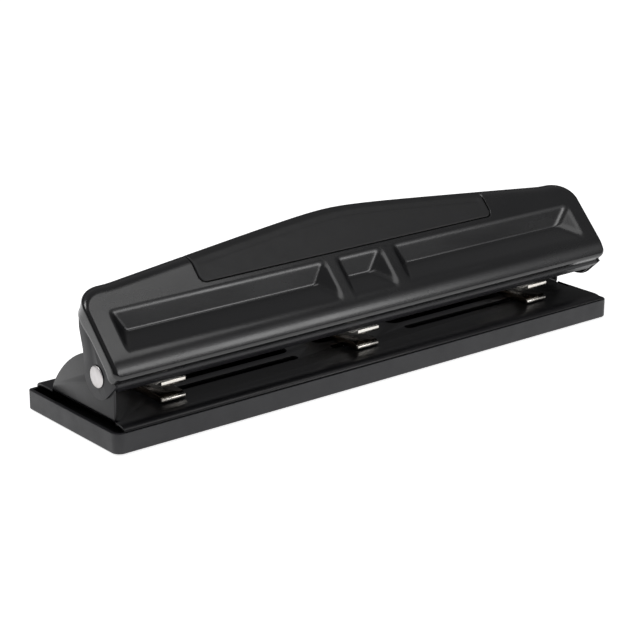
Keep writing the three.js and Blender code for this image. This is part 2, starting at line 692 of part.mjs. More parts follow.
// ---- assembly ---------------------------------------------------------------------------
const punch = new THREE.Group();
punch.add(chipTray(), ...feet(), baseFrame());
punch.add(part('pivot_rivet_left', pivotRivet(-1), nickel()));
punch.add(part('pivot_rivet_right', pivotRivet(1), nickel()));
[['left', -HOLE_PITCH], ['centre', 0], ['right', HOLE_PITCH]].forEach(([place, x]) => {
  punch.add(...punchHead(place, x));
});
punch.add(leverFrame(), handleCover(), gripPad());
COVER_SCREWS.forEach((x, i) => punch.add(part(`cover_screw_${i + 1}`, solidOf(coverScrew(x)), steel())));
punch.add(part('press_bar', solidOf(pressBar()), steel()));
punch.add(part('bar_clip_left', barClip().mirror([1, 0, 0]), steel()));
punch.add(part('bar_clip_right', barClip(), steel()));

export default punch;
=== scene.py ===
"""Looks of an adjustable three-hole paper punch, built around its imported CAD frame.

Shapes are in millimetres in the part's frame: X along the punch, -Y its front, Z up.
The camera, the lights and the scales in the materials are in metres.
"""

import math

import bmesh
import bpy
import numpy as np
from mathutils import Matrix, Vector

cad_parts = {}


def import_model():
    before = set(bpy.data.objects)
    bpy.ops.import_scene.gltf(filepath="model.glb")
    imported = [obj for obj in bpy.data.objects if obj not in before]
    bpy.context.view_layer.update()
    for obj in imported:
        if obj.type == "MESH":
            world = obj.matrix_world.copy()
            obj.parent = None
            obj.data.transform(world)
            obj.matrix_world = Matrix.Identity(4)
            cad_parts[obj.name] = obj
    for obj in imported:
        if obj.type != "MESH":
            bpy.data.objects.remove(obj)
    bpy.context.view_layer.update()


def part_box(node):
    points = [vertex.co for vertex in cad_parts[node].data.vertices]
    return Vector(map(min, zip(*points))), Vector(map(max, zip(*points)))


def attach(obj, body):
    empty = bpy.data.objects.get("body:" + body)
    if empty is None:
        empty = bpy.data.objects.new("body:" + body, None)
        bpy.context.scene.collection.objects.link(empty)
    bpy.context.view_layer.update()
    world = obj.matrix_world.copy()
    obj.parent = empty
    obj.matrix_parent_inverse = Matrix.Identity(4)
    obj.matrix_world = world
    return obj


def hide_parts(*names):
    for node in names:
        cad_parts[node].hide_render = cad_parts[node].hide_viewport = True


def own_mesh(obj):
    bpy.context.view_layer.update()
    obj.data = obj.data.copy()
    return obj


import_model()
MM = 0.001
scene = bpy.context.scene


def cad_box(node):
    low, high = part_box(node)
    return Vector(low) / MM, Vector(high) / MM


def cad_centre(node):
    low, high = cad_box(node)
    return (low + high) / 2


# ---- dimensions, as in the CAD part ----
GAP = 0.3
TRAY_LOW, TRAY_HIGH = cad_box("chip_tray")
LENGTH = TRAY_HIGH.x - TRAY_LOW.x
DEPTH = TRAY_HIGH.y - TRAY_LOW.y
FRONT = TRAY_LOW.y
TRAY_CORNER = 4.2
TRAY_REAR_CORNER = 2.0
TRAY_WALL = 1.8

PLATE_TOP = 12.0
PLATE_THICK = 1.2
PLATE_ROLL = 2.2
PLATE_MARGIN = 0.6
FRONT_EASE = 5.0
EAR_INNER = 139.8
EAR_OUTER = EAR_INNER + PLATE_THICK
EAR_REAR = FRONT + 56.3
EAR_BEND = PLATE_THICK + 1.2
EAR_RELIEF = 0.6
EDGE_BREAK = 0.22

PIVOT_Y = FRONT + 17.8
PIVOT_Z = 29.5
EAR_HEAD = 9.6
LOBE = 10.0
SHANK = 2.3
RIVET_HEAD = 4.8

PIN = cad_centre("punch_pin_centre")
HEADS = {place: cad_centre("punch_pin_" + place).x for place in ("left", "centre", "right")}
HOLE_RADIUS = 3.57
PIN_BORE = HOLE_RADIUS + 0.25
PIN_NECK = 2.6
POST_FRONT = PIN.y - 5
JAW_WIDTH = 12.4
JAW_THICK = 2.2
JAW_FRONT = FRONT + 12.7
JAW_BACK = FRONT + 47.5
JAW_FLARE = 2.2
LOWER_JAW_TOP = 15.1
UPPER_JAW_BOTTOM = 17.5
SCREW_Y = FRONT + 24
SCREW_RADIUS = 1.9
CHIP_SLOT = 4.6
CLAMP_SLOT = 2.4
OUTER_TRAVEL = 73.0
CENTRE_TRAVEL = 10.0

TILT = math.radians(46.4)
PANEL_Y = FRONT + 0.6
PANEL_Z = 34.7
COVER_HALF = 144.0
COVER_THICK = 0.9
TOP_ROLL = 6.5
TOP_TURN = math.pi / 2 + TILT
ROLL_LENGTH = TOP_ROLL * TOP_TURN
REAR_SKIRT = 6.0
CORNER_SKIRT = 1.6
CORNER_RUN = 12.0
SIDE_ROLL = 2.0
SIDE_SKIRT = 4.2
LOW_ROLL = 2.2
LOW_SKIRT = 4.0
LOW_EDGE = -1.0
LOW_BEND = math.radians(27)
LOW_CURVE = 16.0
TOP_CORNER = 13.0
LOW_CORNER = 3.5
GABLE_APEX = 49.5
GABLE_FALL = 0.1145
GABLE_SOFTNESS = 17.0
GABLE_EASE = 8.0

PAD_HALF = 85.3
PAD_START = 32.0
PAD_THICK = 1.2
PAD_SKIRT = 3.0
PAD_CORNER = 3.0
PAD_EDGE = 0.55

# Each recess: left end, right end, length of the sloping facet at each end.
RECESSES = ((-134.0, -20.0, 5.4, 6.4), (-13.0, 13.0, 3.8, 7.4), (20.0, 134.0, 5.2, 9.0))
CREASE_BLEND, HIP_BLEND, RIDGE_BLEND = 0.13, 0.42, 0.17
RECESS_LOW, RECESS_HIGH, RECESS_CREASE, RECESS_DEPTH = 9.5, 28.5, 20.2, 4.5

LEVER_THICK = 1.1
WEB_DEPTH = 6.6
WEB_TOP = 33.0
WALL_END = 12.7
WALL_DROP = 2.0
FLANGE_FOOT = 1.6
FLANGE_INNER = EAR_OUTER + GAP
COVER_SCREWS = (-136.6, -16.5, 16.5, 136.6)
SCREW_V = 19.0
BAR = cad_centre("press_bar")
BAR_RADIUS = 3.0
BAR_HALF = 130.0
HANGERS = (-125.0, -22.5, 22.5, 125.0)
HANGER_HALF = 1.0


# ---- materials ----
class Nodes:
    """Short names for making and linking the nodes of one material."""

    def __init__(self, name):
        self.material = bpy.data.materials.new(name + "_finish")
        self.material["slot"] = name
        self.material.use_nodes = True
        self.tree = self.material.node_tree
        self.shader = self.tree.nodes["Principled BSDF"]
        self.place = self.add("ShaderNodeTexCoord").outputs["Object"]

    def add(self, kind, **inputs):
        node = self.tree.nodes.new(kind)
        for key, value in inputs.items():
            node.inputs[key.replace("_", " ")].default_value = value
        return node

    def link(self, source, target):
        self.tree.links.new(source, target)

    def stretched(self, scale):
        mapping = self.add("ShaderNodeMapping", Scale=scale)
        self.link(self.place, mapping.inputs["Vector"])
        return mapping.outputs["Vector"]

    def noise(self, scale, detail=3.0, roughness=0.5, stretch=None):
        node = self.add("ShaderNodeTexNoise", Scale=scale, Detail=detail, Roughness=roughness)
        self.link(self.stretched(stretch) if stretch else self.place, node.inputs["Vector"])
        return node.outputs["Fac"]

    def spread(self, value, low, high, start=0.3, end=0.7):
        node = self.add("ShaderNodeMapRange")
        for socket, number in zip(node.inputs[1:5], (start, end, low, high)):
            socket.default_value = number
        self.link(value, node.inputs[0])
        return node.outputs[0]

    def mix(self, factor, first, second):
        node = self.add("ShaderNodeMix")
        node.data_type = "RGBA"
        for socket, colour in ((node.inputs[6], first), (node.inputs[7], second)):
            if isinstance(colour, bpy.types.NodeSocket):
                self.link(colour, socket)
            else:
                socket.default_value = (*colour, 1)
        self.link(factor, node.inputs[0])
        return node.outputs[2]

    def times(self, first, second):
        node = self.add("ShaderNodeMath")
        node.operation = "MULTIPLY"
        self.link(first, node.inputs[0])
        self.link(second, node.inputs[1])
        return node.outputs[0]

    def behind(self, lip, height):
        """1 behind the lip and below the height, both in millimetres, and 0 elsewhere: the mask of the
        painted shade between the jaws.
        """
        parts = self.add("ShaderNodeSeparateXYZ")
        self.link(self.place, parts.inputs[0])
        back = self.spread(parts.outputs["Y"], 0.0, 1.0, lip * MM, (lip + 0.7) * MM)
        below = self.spread(parts.outputs["Z"], 1.0, 0.0, height * MM, (height + 0.4) * MM)
        return self.times(back, below)

    def bump(self, height, distance, strength, after=None):
        node = self.add("ShaderNodeBump", Strength=strength, Distance=distance)
        self.link(height, node.inputs["Height"])
        if after is not None:
            self.link(after, node.inputs["Normal"])
        return node.outputs["Normal"]

    def set(self, **sockets):
        for key, value in sockets.items():
            self.shader.inputs[key.replace("_", " ")].default_value = value

    def done(self, colour, roughness, normal):
        self.link(colour, self.shader.inputs["Base Color"])
        self.link(roughness, self.shader.inputs["Roughness"])
        self.link(normal, self.shader.inputs["Normal"])
        return self.material


def paint(name, dark, light, rough, peel, coat=0.0, shine=0.5):
    """Baked enamel on steel: cloudy tone, orange peel, and streaks rubbed a little paler."""
    n = Nodes(name)
    cloudy = n.noise(38.0, 4.0, 0.55)
    colour = n.mix(n.spread(cloudy, 0.0, 1.0), dark, light)
    rubs = n.spread(n.noise(260.0, 3.0, 0.55, stretch=(0.05, 1.0, 1.0)), 0.0, 1.0, 0.66, 0.74)
    rubbed = n.times(rubs, n.spread(n.noise(30.0), 0.0, 0.35, 0.5, 0.7))
    colour = n.mix(rubbed, colour, (0.03, 0.03, 0.032))
    smear = n.noise(24.0, 5.0, 0.6, stretch=(0.6, 1.6, 1.6))
    roughness = n.spread(smear, rough[0], rough[1], 0.34, 0.66)
    peeled = n.bump(n.noise(520.0, 1.0, 0.3), 0.00004, peel)
    grained = n.bump(n.noise(5200.0, 1.0, 0.4), 0.000004, 0.4, after=peeled)
    n.set(Specular_IOR_Level=shine, Coat_Weight=coat, Coat_Roughness=0.12, Coat_IOR=1.5)
    return n.done(colour, roughness, grained)


def moulded(name, dark, light, rough, grain, depth):
    """Moulded plastic or rubber with a fine spark-eroded grain."""
    n = Nodes(name)
    colour = n.mix(n.spread(n.noise(55.0, 5.0, 0.6), 0.0, 1.0), dark, light)
    roughness = n.spread(n.noise(130.0, 4.0, 0.6), rough[0], rough[1])
    cells = n.add("ShaderNodeTexVoronoi", Scale=grain)
    n.link(n.place, cells.inputs["Vector"])
    pebbled = n.bump(cells.outputs["Distance"], depth, 0.5)
    fine = n.bump(n.noise(grain * 1.7, 3.0, 0.6), depth * 0.6, 0.5, after=pebbled)
    return n.done(colour, roughness, fine)


def metal(name, base, tarnish, rough, brush, shade_behind=None):
    """Plated or ground steel: drawn lines, faint scratches and a little tarnish, and a dark brown painted
    shade behind the front edge and below a height, where those are given.
    """
    n = Nodes(name)
    clouded = n.spread(n.noise(260.0, 5.0, 0.6), 0.0, 1.0, 0.35, 0.75)
    colour = n.mix(clouded, base, tarnish)
    if shade_behind:
        # Painted shade: dark brown steel behind the front edge and under the given height, standing in for
        # the shade between the jaws.
        painted_shade = n.mix(clouded, (0.05, 0.042, 0.035), (0.075, 0.052, 0.035))
        colour = n.mix(n.behind(*shade_behind), colour, painted_shade)
    lines = n.noise(900.0, 4.0, 0.65, stretch=brush)
    roughness = n.spread(lines, rough[0], rough[1])
    drawn = n.bump(lines, 0.000004, 0.3)
    pitted = n.bump(n.noise(2600.0, 2.0, 0.5), 0.000002, 0.3, after=drawn)
    n.set(Metallic=1.0)
    return n.done(colour, roughness, pitted)


# Stretches that draw the brush lines of a metal out along one axis.
EVEN = (1.0, 1.0, 1.0)
ALONG_BAR = (0.1, 1.0, 1.0)
ALONG_HEAD = (1.0, 0.12, 1.0)
ALONG_PIN = (1.0, 1.0, 0.1)

COVER_BLACK = paint(
    "cover_black", (0.0035, 0.0035, 0.004), (0.005, 0.005, 0.0056), (0.2, 0.29), 0.3, coat=0.2)
LEVER_ENAMEL = paint(
    "lever_enamel", (0.006, 0.006, 0.0075), (0.009, 0.009, 0.0108), (0.4, 0.5), 0.4, shine=0.4)
BASE_ENAMEL = paint(
    "base_enamel", (0.0042, 0.0042, 0.005), (0.0062, 0.0062, 0.0074), (0.27, 0.37), 0.4, shine=0.36)
TRAY_PLASTIC = moulded(
    "tray_plastic", (0.009, 0.009, 0.011), (0.013, 0.013, 0.0155), (0.42, 0.54), 2600.0, 0.00001)
GRIP_RUBBER = moulded(
    "grip_rubber", (0.0055, 0.0055, 0.0058), (0.0085, 0.0085, 0.009), (0.42, 0.52), 2100.0, 0.000012)
FOOT_RUBBER = moulded(
    "foot_rubber", (0.012, 0.012, 0.012), (0.02, 0.02, 0.02), (0.75, 0.92), 1500.0, 0.00003)
# The jaw frames carry painted shade behind their mouths, under the upper jaw.
JAW_NICKEL = metal(
    "jaw_nickel", (0.74, 0.72, 0.68), (0.6, 0.56, 0.5), (0.16, 0.28), ALONG_HEAD,
    shade_behind=(JAW_FRONT + 0.7, LOWER_JAW_TOP + 1.2))
WASHER_NICKEL = metal("jaw_nickel", (0.70, 0.68, 0.65), (0.58, 0.55, 0.5), (0.2, 0.32), ALONG_HEAD)
RIVET_NICKEL = metal("rivet_nickel", (0.60, 0.58, 0.58), (0.50, 0.48, 0.475), (0.34, 0.46), EVEN)
BRIGHT_STEEL = metal("bright_steel", (0.56, 0.57, 0.58), (0.42, 0.41, 0.40), (0.2, 0.36), ALONG_BAR)
HARDENED_STEEL = metal("hardened_steel", (0.50, 0.50, 0.51), (0.33, 0.32, 0.32), (0.16, 0.3), ALONG_PIN)
SPRING_STEEL = metal(
    "spring_steel", (0.44, 0.43, 0.42), (0.26, 0.25, 0.25), (0.25, 0.42), (1.0, 1.0, 0.3))


# ---- mesh helpers ----
def mesh_object(name, points, faces):
    mesh = bpy.data.meshes.new(name)
    mesh.from_pydata([[MM * c for c in point] for point in points], [], faces)
    obj = bpy.data.objects.new(name, mesh)
    scene.collection.objects.link(obj)
    return obj


def tidy_mesh(obj, flat=0.0):
    """Merges doubled points, joins faces that are level within flat degrees and turns them all outwards."""
    bm = bmesh.new()
    bm.from_mesh(obj.data)
    bmesh.ops.remove_doubles(bm, verts=bm.verts, dist=0.002 * MM)
    if flat:
        bmesh.ops.dissolve_limit(bm, angle_limit=math.radians(flat), verts=bm.verts, edges=bm.edges)
    bmesh.ops.recalc_face_normals(bm, faces=bm.faces)
    bm.to_mesh(obj.data)
    bm.free()


def bake_modifiers(obj):
    evaluated = obj.evaluated_get(bpy.context.evaluated_depsgraph_get())
    mesh = bpy.data.meshes.new_from_object(evaluated)
    obj.modifiers.clear()
    old, obj.data = obj.data, mesh
    bpy.data.meshes.remove(old)


def combine(obj, operation, *tools):
    for tool in tools:
        modifier = obj.modifiers.new("solid", "BOOLEAN")
        modifier.solver = "EXACT"
        modifier.operation = operation
        modifier.object = tool
        bake_modifiers(obj)
        bpy.data.objects.remove(tool)
    return obj


def bevelled(obj, width, segments=2, angle=32.0):
    modifier = obj.modifiers.new("edge", "BEVEL")
    modifier.width = width * MM
    modifier.segments = segments
    modifier.limit_method = "ANGLE"
    modifier.angle_limit = math.radians(angle)
    modifier.use_clamp_overlap = True
    bake_modifiers(obj)


def piece(obj, body, look, node, angle=32.0, name=None):
    """Gives a finished mesh its looks and its body, and hides the CAD node that it stands for."""
    obj.data.shade_smooth()
    obj.data.set_sharp_from_angle(angle=math.radians(angle))
    obj.data.materials.clear()
    obj.data.materials.append(look)
    if name:
        obj.name = name
    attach(obj, body)
    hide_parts(node)
    return obj


def arc(cy, cz, radius, start, end, steps):
    """Points round an arc from start to end, in degrees."""
    angles = np.radians(np.linspace(start, end, steps + 1))
    return [(cy + radius * math.cos(a), cz + radius * math.sin(a)) for a in angles]


def prism(name, outline, start, end, place):
    """A flat outline thickened from start to end. place turns (a, b, height) into (x, y, z)."""
    count = len(outline)
    points = [place(a, b, h) for h in (start, end) for a, b in outline]
    faces = [list(range(count))[::-1], list(range(count, 2 * count))]
    faces += [[i, (i + 1) % count, count + (i + 1) % count, count + i] for i in range(count)]
    obj = mesh_object(name, points, faces)
    tidy_mesh(obj)
    return obj


def slab_x(name, outline, x0, x1):
    return prism(name, outline, x0, x1, lambda y, z, x: (x, y, z))


def slab_z(name, outline, z0, z1):
    return prism(name, outline, z0, z1, lambda x, y, z: (x, y, z))


def lathe(name, profile, place, segments=72):
    """Turns (radius, height) pairs round an axis. place turns (a, b, height) into (x, y, z)."""
    points, rings = [], []
    for radius, height in profile:
        rings.append(len(points))
        turns = 1 if radius == 0 else segments
        for k in range(turns):
            angle = 2 * math.pi * k / segments
            points.append(place(radius * math.cos(angle), radius * math.sin(angle), height))
    closed = profile[0] == profile[-1]
    faces = []
    for i in range(len(profile) - 1):
        low, high = profile[i][0], profile[i + 1][0]
        for k in range(segments):
            n = (k + 1) % segments
            a, b = rings[i], rings[i + 1]
            if low == 0 and high == 0:
                continue
            if low == 0:
                faces.append([a, b + n, b + k])
            elif high == 0:
                faces.append([a + k, a + n, b])
            else:
                faces.append([a + k, a + n, b + n, b + k])
    obj = mesh_object(name, points, faces)
    tidy_mesh(obj)
    return obj


def about_z(x, y):
    return lambda a, b, h: (x + a, y + b, h)


def about_x(y, z, sign=1):
    return lambda a, b, h: (sign * h, y + a, z + b)


def washer(inner, outer, low, high, start):
    """Closed profile of a flat ring, begun on its inner face at the height start."""
    return [(inner, start), (inner, low), (outer, low), (outer, high), (inner, high), (inner, start)]


def drill(radius, low, high, place, segments):
    """A rod that cuts a round hole."""
    return lathe("hole", [(0, low), (radius, low), (radius, high), (0, high)], place, segments)


def rounded(profile, radius, steps=4):
    """A profile with each corner but its ends turned into a curve that starts radius before it."""
    result = [profile[0]]
    for before, here, after in zip(profile, profile[1:], profile[2:]):
        b, h, a = Vector(before), Vector(here), Vector(after)
        back, on = (b - h), (a - h)
        if back.length < 1e-6 or on.length < 1e-6:
            result.append(here)
            continue
        reach = min(radius, 0.45 * back.length, 0.45 * on.length)
        start, end = h + back.normalized() * reach, h + on.normalized() * reach
        for k in range(steps + 1):
            t = k / steps
            result.append(tuple((1 - t) ** 2 * start + 2 * t * (1 - t) * h + t * t * end))
    result.append(profile[-1])
    return result


def panel_point(x, v, d):
    """v runs up the front panel from its lower edge, d is the depth behind its face."""
    return (
        x,
        PANEL_Y + v * math.cos(TILT) + d * math.sin(TILT),
        PANEL_Z + v * math.sin(TILT) - d * math.cos(TILT),
    )


def along_panel(outline):
    return [panel_point(0, v, d)[1:] for v, d in outline]


# ---- handle cover ----
EDGE_X = COVER_HALF - SIDE_ROLL
CORNER_X = COVER_HALF - TOP_CORNER


def gable(x):
    """Height on the panel where the rolled top edge begins."""
    run = math.hypot(x, GABLE_SOFTNESS) - GABLE_SOFTNESS
    eased = min(max(0.0, abs(x) - (CORNER_X - GABLE_EASE)), GABLE_EASE)
    past = max(0.0, abs(x) - CORNER_X)
    return GABLE_APEX - GABLE_FALL * (run - eased**2 / (2 * GABLE_EASE) - past)


CORNER_V = gable(CORNER_X) + TOP_ROLL - TOP_CORNER
LOW_CORNER_X = COVER_HALF - LOW_CORNER
LOW_CORNER_V = LOW_EDGE + LOW_CORNER
LOW_LINE = LOW_EDGE + LOW_ROLL * (1 - math.sin(LOW_BEND))
LOW_REST = LOW_LINE + LOW_CURVE * math.sin(LOW_BEND)


def smooth_step(t):
    t = min(max(t, 0.0), 1.0)
    return t * t * (3 - 2 * t)


def fall_away(v):
    """Depth by which the panel has curved back below LOW_REST."""
    drop = max(0.0, LOW_REST - v)
    return LOW_CURVE - math.sqrt(LOW_CURVE**2 - drop**2)


def soft_min(a, b, blend):
    """The lower of two values, with the crease between them rounded over blend."""
    h = max(blend - abs(a - b), 0.0) / blend
    return min(a, b) - h * h * blend / 4


def recess_depth(x, v):
    """Depth of the three V-shaped recesses pressed into the panel."""
    for left, right, left_hip, right_hip in RECESSES:
        if left - 3 < x < right + 3:
            floor = soft_min(
                (RECESS_HIGH - v) / (RECESS_HIGH - RECESS_CREASE),
                (v - RECESS_LOW) / (RECESS_CREASE - RECESS_LOW),
                CREASE_BLEND,
            )
            floor = soft_min(floor, (x - left) / left_hip, HIP_BLEND)
            floor = soft_min(floor, (right - x) / right_hip, HIP_BLEND)
            return RECESS_DEPTH * -soft_min(-floor, 0.0, RIDGE_BLEND)
    return 0.0


def rounded_distance(x, s, half, low, radius):
    """Distance inside an outline with straight sides and rounded lower corners."""
    a, b = abs(x) - (half - radius), (low + radius) - s
    if a > 0 and b > 0:
        return radius - math.hypot(a, b)
    return min(half - abs(x), s - low)


def pocket_depth(x, s, end=math.inf):
    """Depth of the pocket that the grip pad lies in. s runs up the panel and over the roll to end."""
    inside = min(
        rounded_distance(x, s, PAD_HALF + GAP, PAD_START - GAP, PAD_CORNER + GAP),
        end - s,
    )
    return (PAD_THICK + GAP) * smooth_step(inside / 0.25 + 0.6)


def corner_fold(turn, roll, first, last, skirt):
    """Fold radius, first and last bend and skirt length: the side's at turn 0, those given at 1."""
    t = smooth_step(turn)
    return (
        SIDE_ROLL + (roll - SIDE_ROLL) * t,
        first * t,
        math.pi / 2 + (last - math.pi / 2) * t,
        SIDE_SKIRT + (skirt - SIDE_SKIRT) * t,
    )


def corner_place(a, b):
    """Share of the way out, and turn from the side, of a point in a unit corner square."""
    out = max(a, b)
    if out < 1e-9:
        return 0.0, 0.0
    return out, 0.5 * b / a if a >= b else 1 - 0.5 * a / b


def graded(stops):
    """Stations from (position, spacing up to the next position) pairs."""
    result = []
    for (start, step), (end, _) in zip(stops, stops[1:]):
        count = max(1, round((end - start) / step))
        result += list(np.linspace(start, end, count, endpoint=False))
    return result + [stops[-1][0]]


def mirrored(half):
    """Stations on both sides of 0, from those on one side."""
    return [-x for x in half[:0:-1]] + half


def grid_rim(nx, ny):
    """Keys of the outer points of a grid, once round."""
    loop = [(i, 0) for i in range(nx)] + [(nx - 1, j) for j in range(1, ny)]
    return loop + [(i, ny - 1) for i in range(nx - 2, -1, -1)] + [(0, j) for j in range(ny - 2, 0, -1)]


def cover_place(x, row):
    """Where a grid point of the panel lies, and its angle, turn and way (1 up, -1 down) in a rounded corner.

    A row is a fixed height and the share of the way from there to the rolled edge.
    """
    fixed, share = row
    top = gable(min(abs(x), CORNER_X))
    v = fixed + share * (top - fixed)
    side = math.copysign(1, x)
    if abs(x) > CORNER_X and v > CORNER_V:
        out, turn = corner_place(
            (abs(x) - CORNER_X) / (EDGE_X - CORNER_X), (v - CORNER_V) / (top - CORNER_V))
        angle = turn * math.pi / 2
        roll = corner_fold(turn, TOP_ROLL, 0.0, TOP_TURN, REAR_SKIRT)[0]
        reach = out * (TOP_CORNER - roll)
        across, up = reach * math.cos(angle), reach * math.sin(angle)
        return side * (CORNER_X + across), CORNER_V + up, angle, turn, 1
    if abs(x) > LOW_CORNER_X and v < LOW_CORNER_V:
        out, turn = corner_place(
            (abs(x) - LOW_CORNER_X) / (EDGE_X - LOW_CORNER_X),
            (LOW_CORNER_V - v) / (LOW_CORNER_V - LOW_LINE))
        angle = turn * math.pi / 2
        roll, first, _, _ = corner_fold(turn, LOW_ROLL, LOW_BEND, math.pi / 2, LOW_SKIRT)
        reach = out * (LOW_CORNER - roll * (1 - math.sin(first)))
        across, down = reach * math.cos(angle), reach * math.sin(angle)
        return side * (LOW_CORNER_X + across), LOW_CORNER_V - down, angle, turn, -1
    return x, v, None, None, 0


def cover_border(x, v, place, edge):
    """Outward direction, fold radius, first and last bend and skirt length on the panel's border."""
    side = math.copysign(1, x)
    angle, turn, way = place
    if angle is not None:
        out = (side * math.cos(angle), way * math.sin(angle))
        if way > 0:
            roll, first, last, skirt = corner_fold(turn, TOP_ROLL, 0.0, TOP_TURN, REAR_SKIRT)
            return out, roll, first, last, skirt + CORNER_SKIRT * (1 - smooth_step(turn))
        return out, *corner_fold(turn, LOW_ROLL, LOW_BEND, math.pi / 2, LOW_SKIRT)
    if edge == "low":
        return (0.0, -1.0), LOW_ROLL, LOW_BEND, math.pi / 2, LOW_SKIRT
    if edge == "side":
        deeper = CORNER_SKIRT * smooth_step(1 + (v - CORNER_V) / CORNER_RUN)
        return (side, 0.0), SIDE_ROLL, 0.0, math.pi / 2, SIDE_SKIRT + deeper
    slope = (gable(x + 0.01) - gable(x - 0.01)) / 0.02
    length = math.hypot(slope, 1)
    return (-slope / length, 1 / length), TOP_ROLL, 0.0, TOP_TURN, REAR_SKIRT


FOLD_STEPS = 12
SKIRT_SHARES = (0.25, 0.5, 0.75, 1.0)
NEAR_PAD = PAD_HALF + 3


def fold_point(x, v, border, k):
    """Point k along the fold and the skirt that follow a point of the panel's border."""
    out, roll, first, turn, skirt = border
    bend = first + (turn - first) * min(k, FOLD_STEPS) / FOLD_STEPS
    run = 0.0 if k <= FOLD_STEPS else skirt * SKIRT_SHARES[k - FOLD_STEPS - 1]
    reach = roll * (math.sin(bend) - math.sin(first)) + run * math.cos(turn)
    depth = fall_away(v) + roll * (math.cos(first) - math.cos(bend)) + run * math.sin(turn)
    if abs(x) < NEAR_PAD and v > PAD_START:
        sunk = pocket_depth(x, v + roll * bend + run, v + ROLL_LENGTH + PAD_SKIRT + GAP)
        reach -= sunk * math.sin(bend)
        depth += sunk * math.cos(bend)
    return panel_point(x + out[0] * reach, v + out[1] * reach, depth)


def handle_cover():
    """The thin shell: a grid over the panel, then its border folded back all round."""
    fine, step, level_top = 0.35, 0.8, 36.0
    columns = mirrored(graded([
        (0, step), (PAD_HALF - 4, fine), (PAD_HALF + 1, step), (CORNER_X - 6, 0.5), (EDGE_X, 1)]))
    heights = graded([
        (LOW_LINE, 0.4), (LOW_CORNER_V, 0.8), (RECESS_LOW - 2, 0.45), (RECESS_HIGH + 1.5, fine),
        (level_top, 1)])
    rows = [(v, 0.0) for v in heights] + [(level_top, t) for t in np.linspace(0, 1, 19)[1:]]
    nx, ny = len(columns), len(rows)
    points, index, borders = [], {}, {}
    for i, x in enumerate(columns):
        for j, row in enumerate(rows):
            px, pv, *place = cover_place(x, row)
            depth = recess_depth(px, pv) + fall_away(pv)
            depth += pocket_depth(px, pv) if abs(px) < NEAR_PAD else 0.0
            index[i, j] = len(points)
            points.append(panel_point(px, pv, depth))
            if i in (0, nx - 1) or j in (0, ny - 1):
                edge = "low" if j == 0 else "top" if j == ny - 1 else "side"
                borders[i, j] = (px, pv, cover_border(px, pv, place, edge))
    faces = [
        [index[i, j], index[i + 1, j], index[i + 1, j + 1], index[i, j + 1]]
        for i in range(nx - 1) for j in range(ny - 1)
    ]
    loop = grid_rim(nx, ny)
    strips = [[index[key] for key in loop]]
    for k in range(1, FOLD_STEPS + len(SKIRT_SHARES) + 1):
        strips.append(range(len(points), len(points) + len(loop)))
        points += [fold_point(*borders[key], k) for key in loop]
    for inner, outer in zip(strips, strips[1:]):
        for k in range(len(loop)):
            n = (k + 1) % len(loop)
            faces.append([inner[k], outer[k], outer[n], inner[n]])
    obj = mesh_object("handle_shell", points, faces)
    shell = obj.modifiers.new("sheet", "SOLIDIFY")
    shell.thickness = COVER_THICK * MM
    shell.offset = -1
    shell.use_even_offset = False
    tidy_mesh(obj)
    bake_modifiers(obj)
    bevelled(obj, 0.25, angle=60)
    return piece(obj, "handle", COVER_BLACK, "handle_cover", angle=50)


# ---- grip pad ----
def over_roll(x, s, p):
    """A point p below the handle's outer face, s along it from the panel's lower edge over the roll."""
    top = gable(x)
    if s <= top:
        return panel_point(x, s, p)
    bend = min((s - top) / TOP_ROLL, TOP_TURN)
    run = max(0.0, s - top - ROLL_LENGTH)
    radius = TOP_ROLL - p
    v = top + radius * math.sin(bend) + run * math.cos(TOP_TURN)
    d = TOP_ROLL - radius * math.cos(bend) + run * math.sin(TOP_TURN)
    return panel_point(x, v, d)


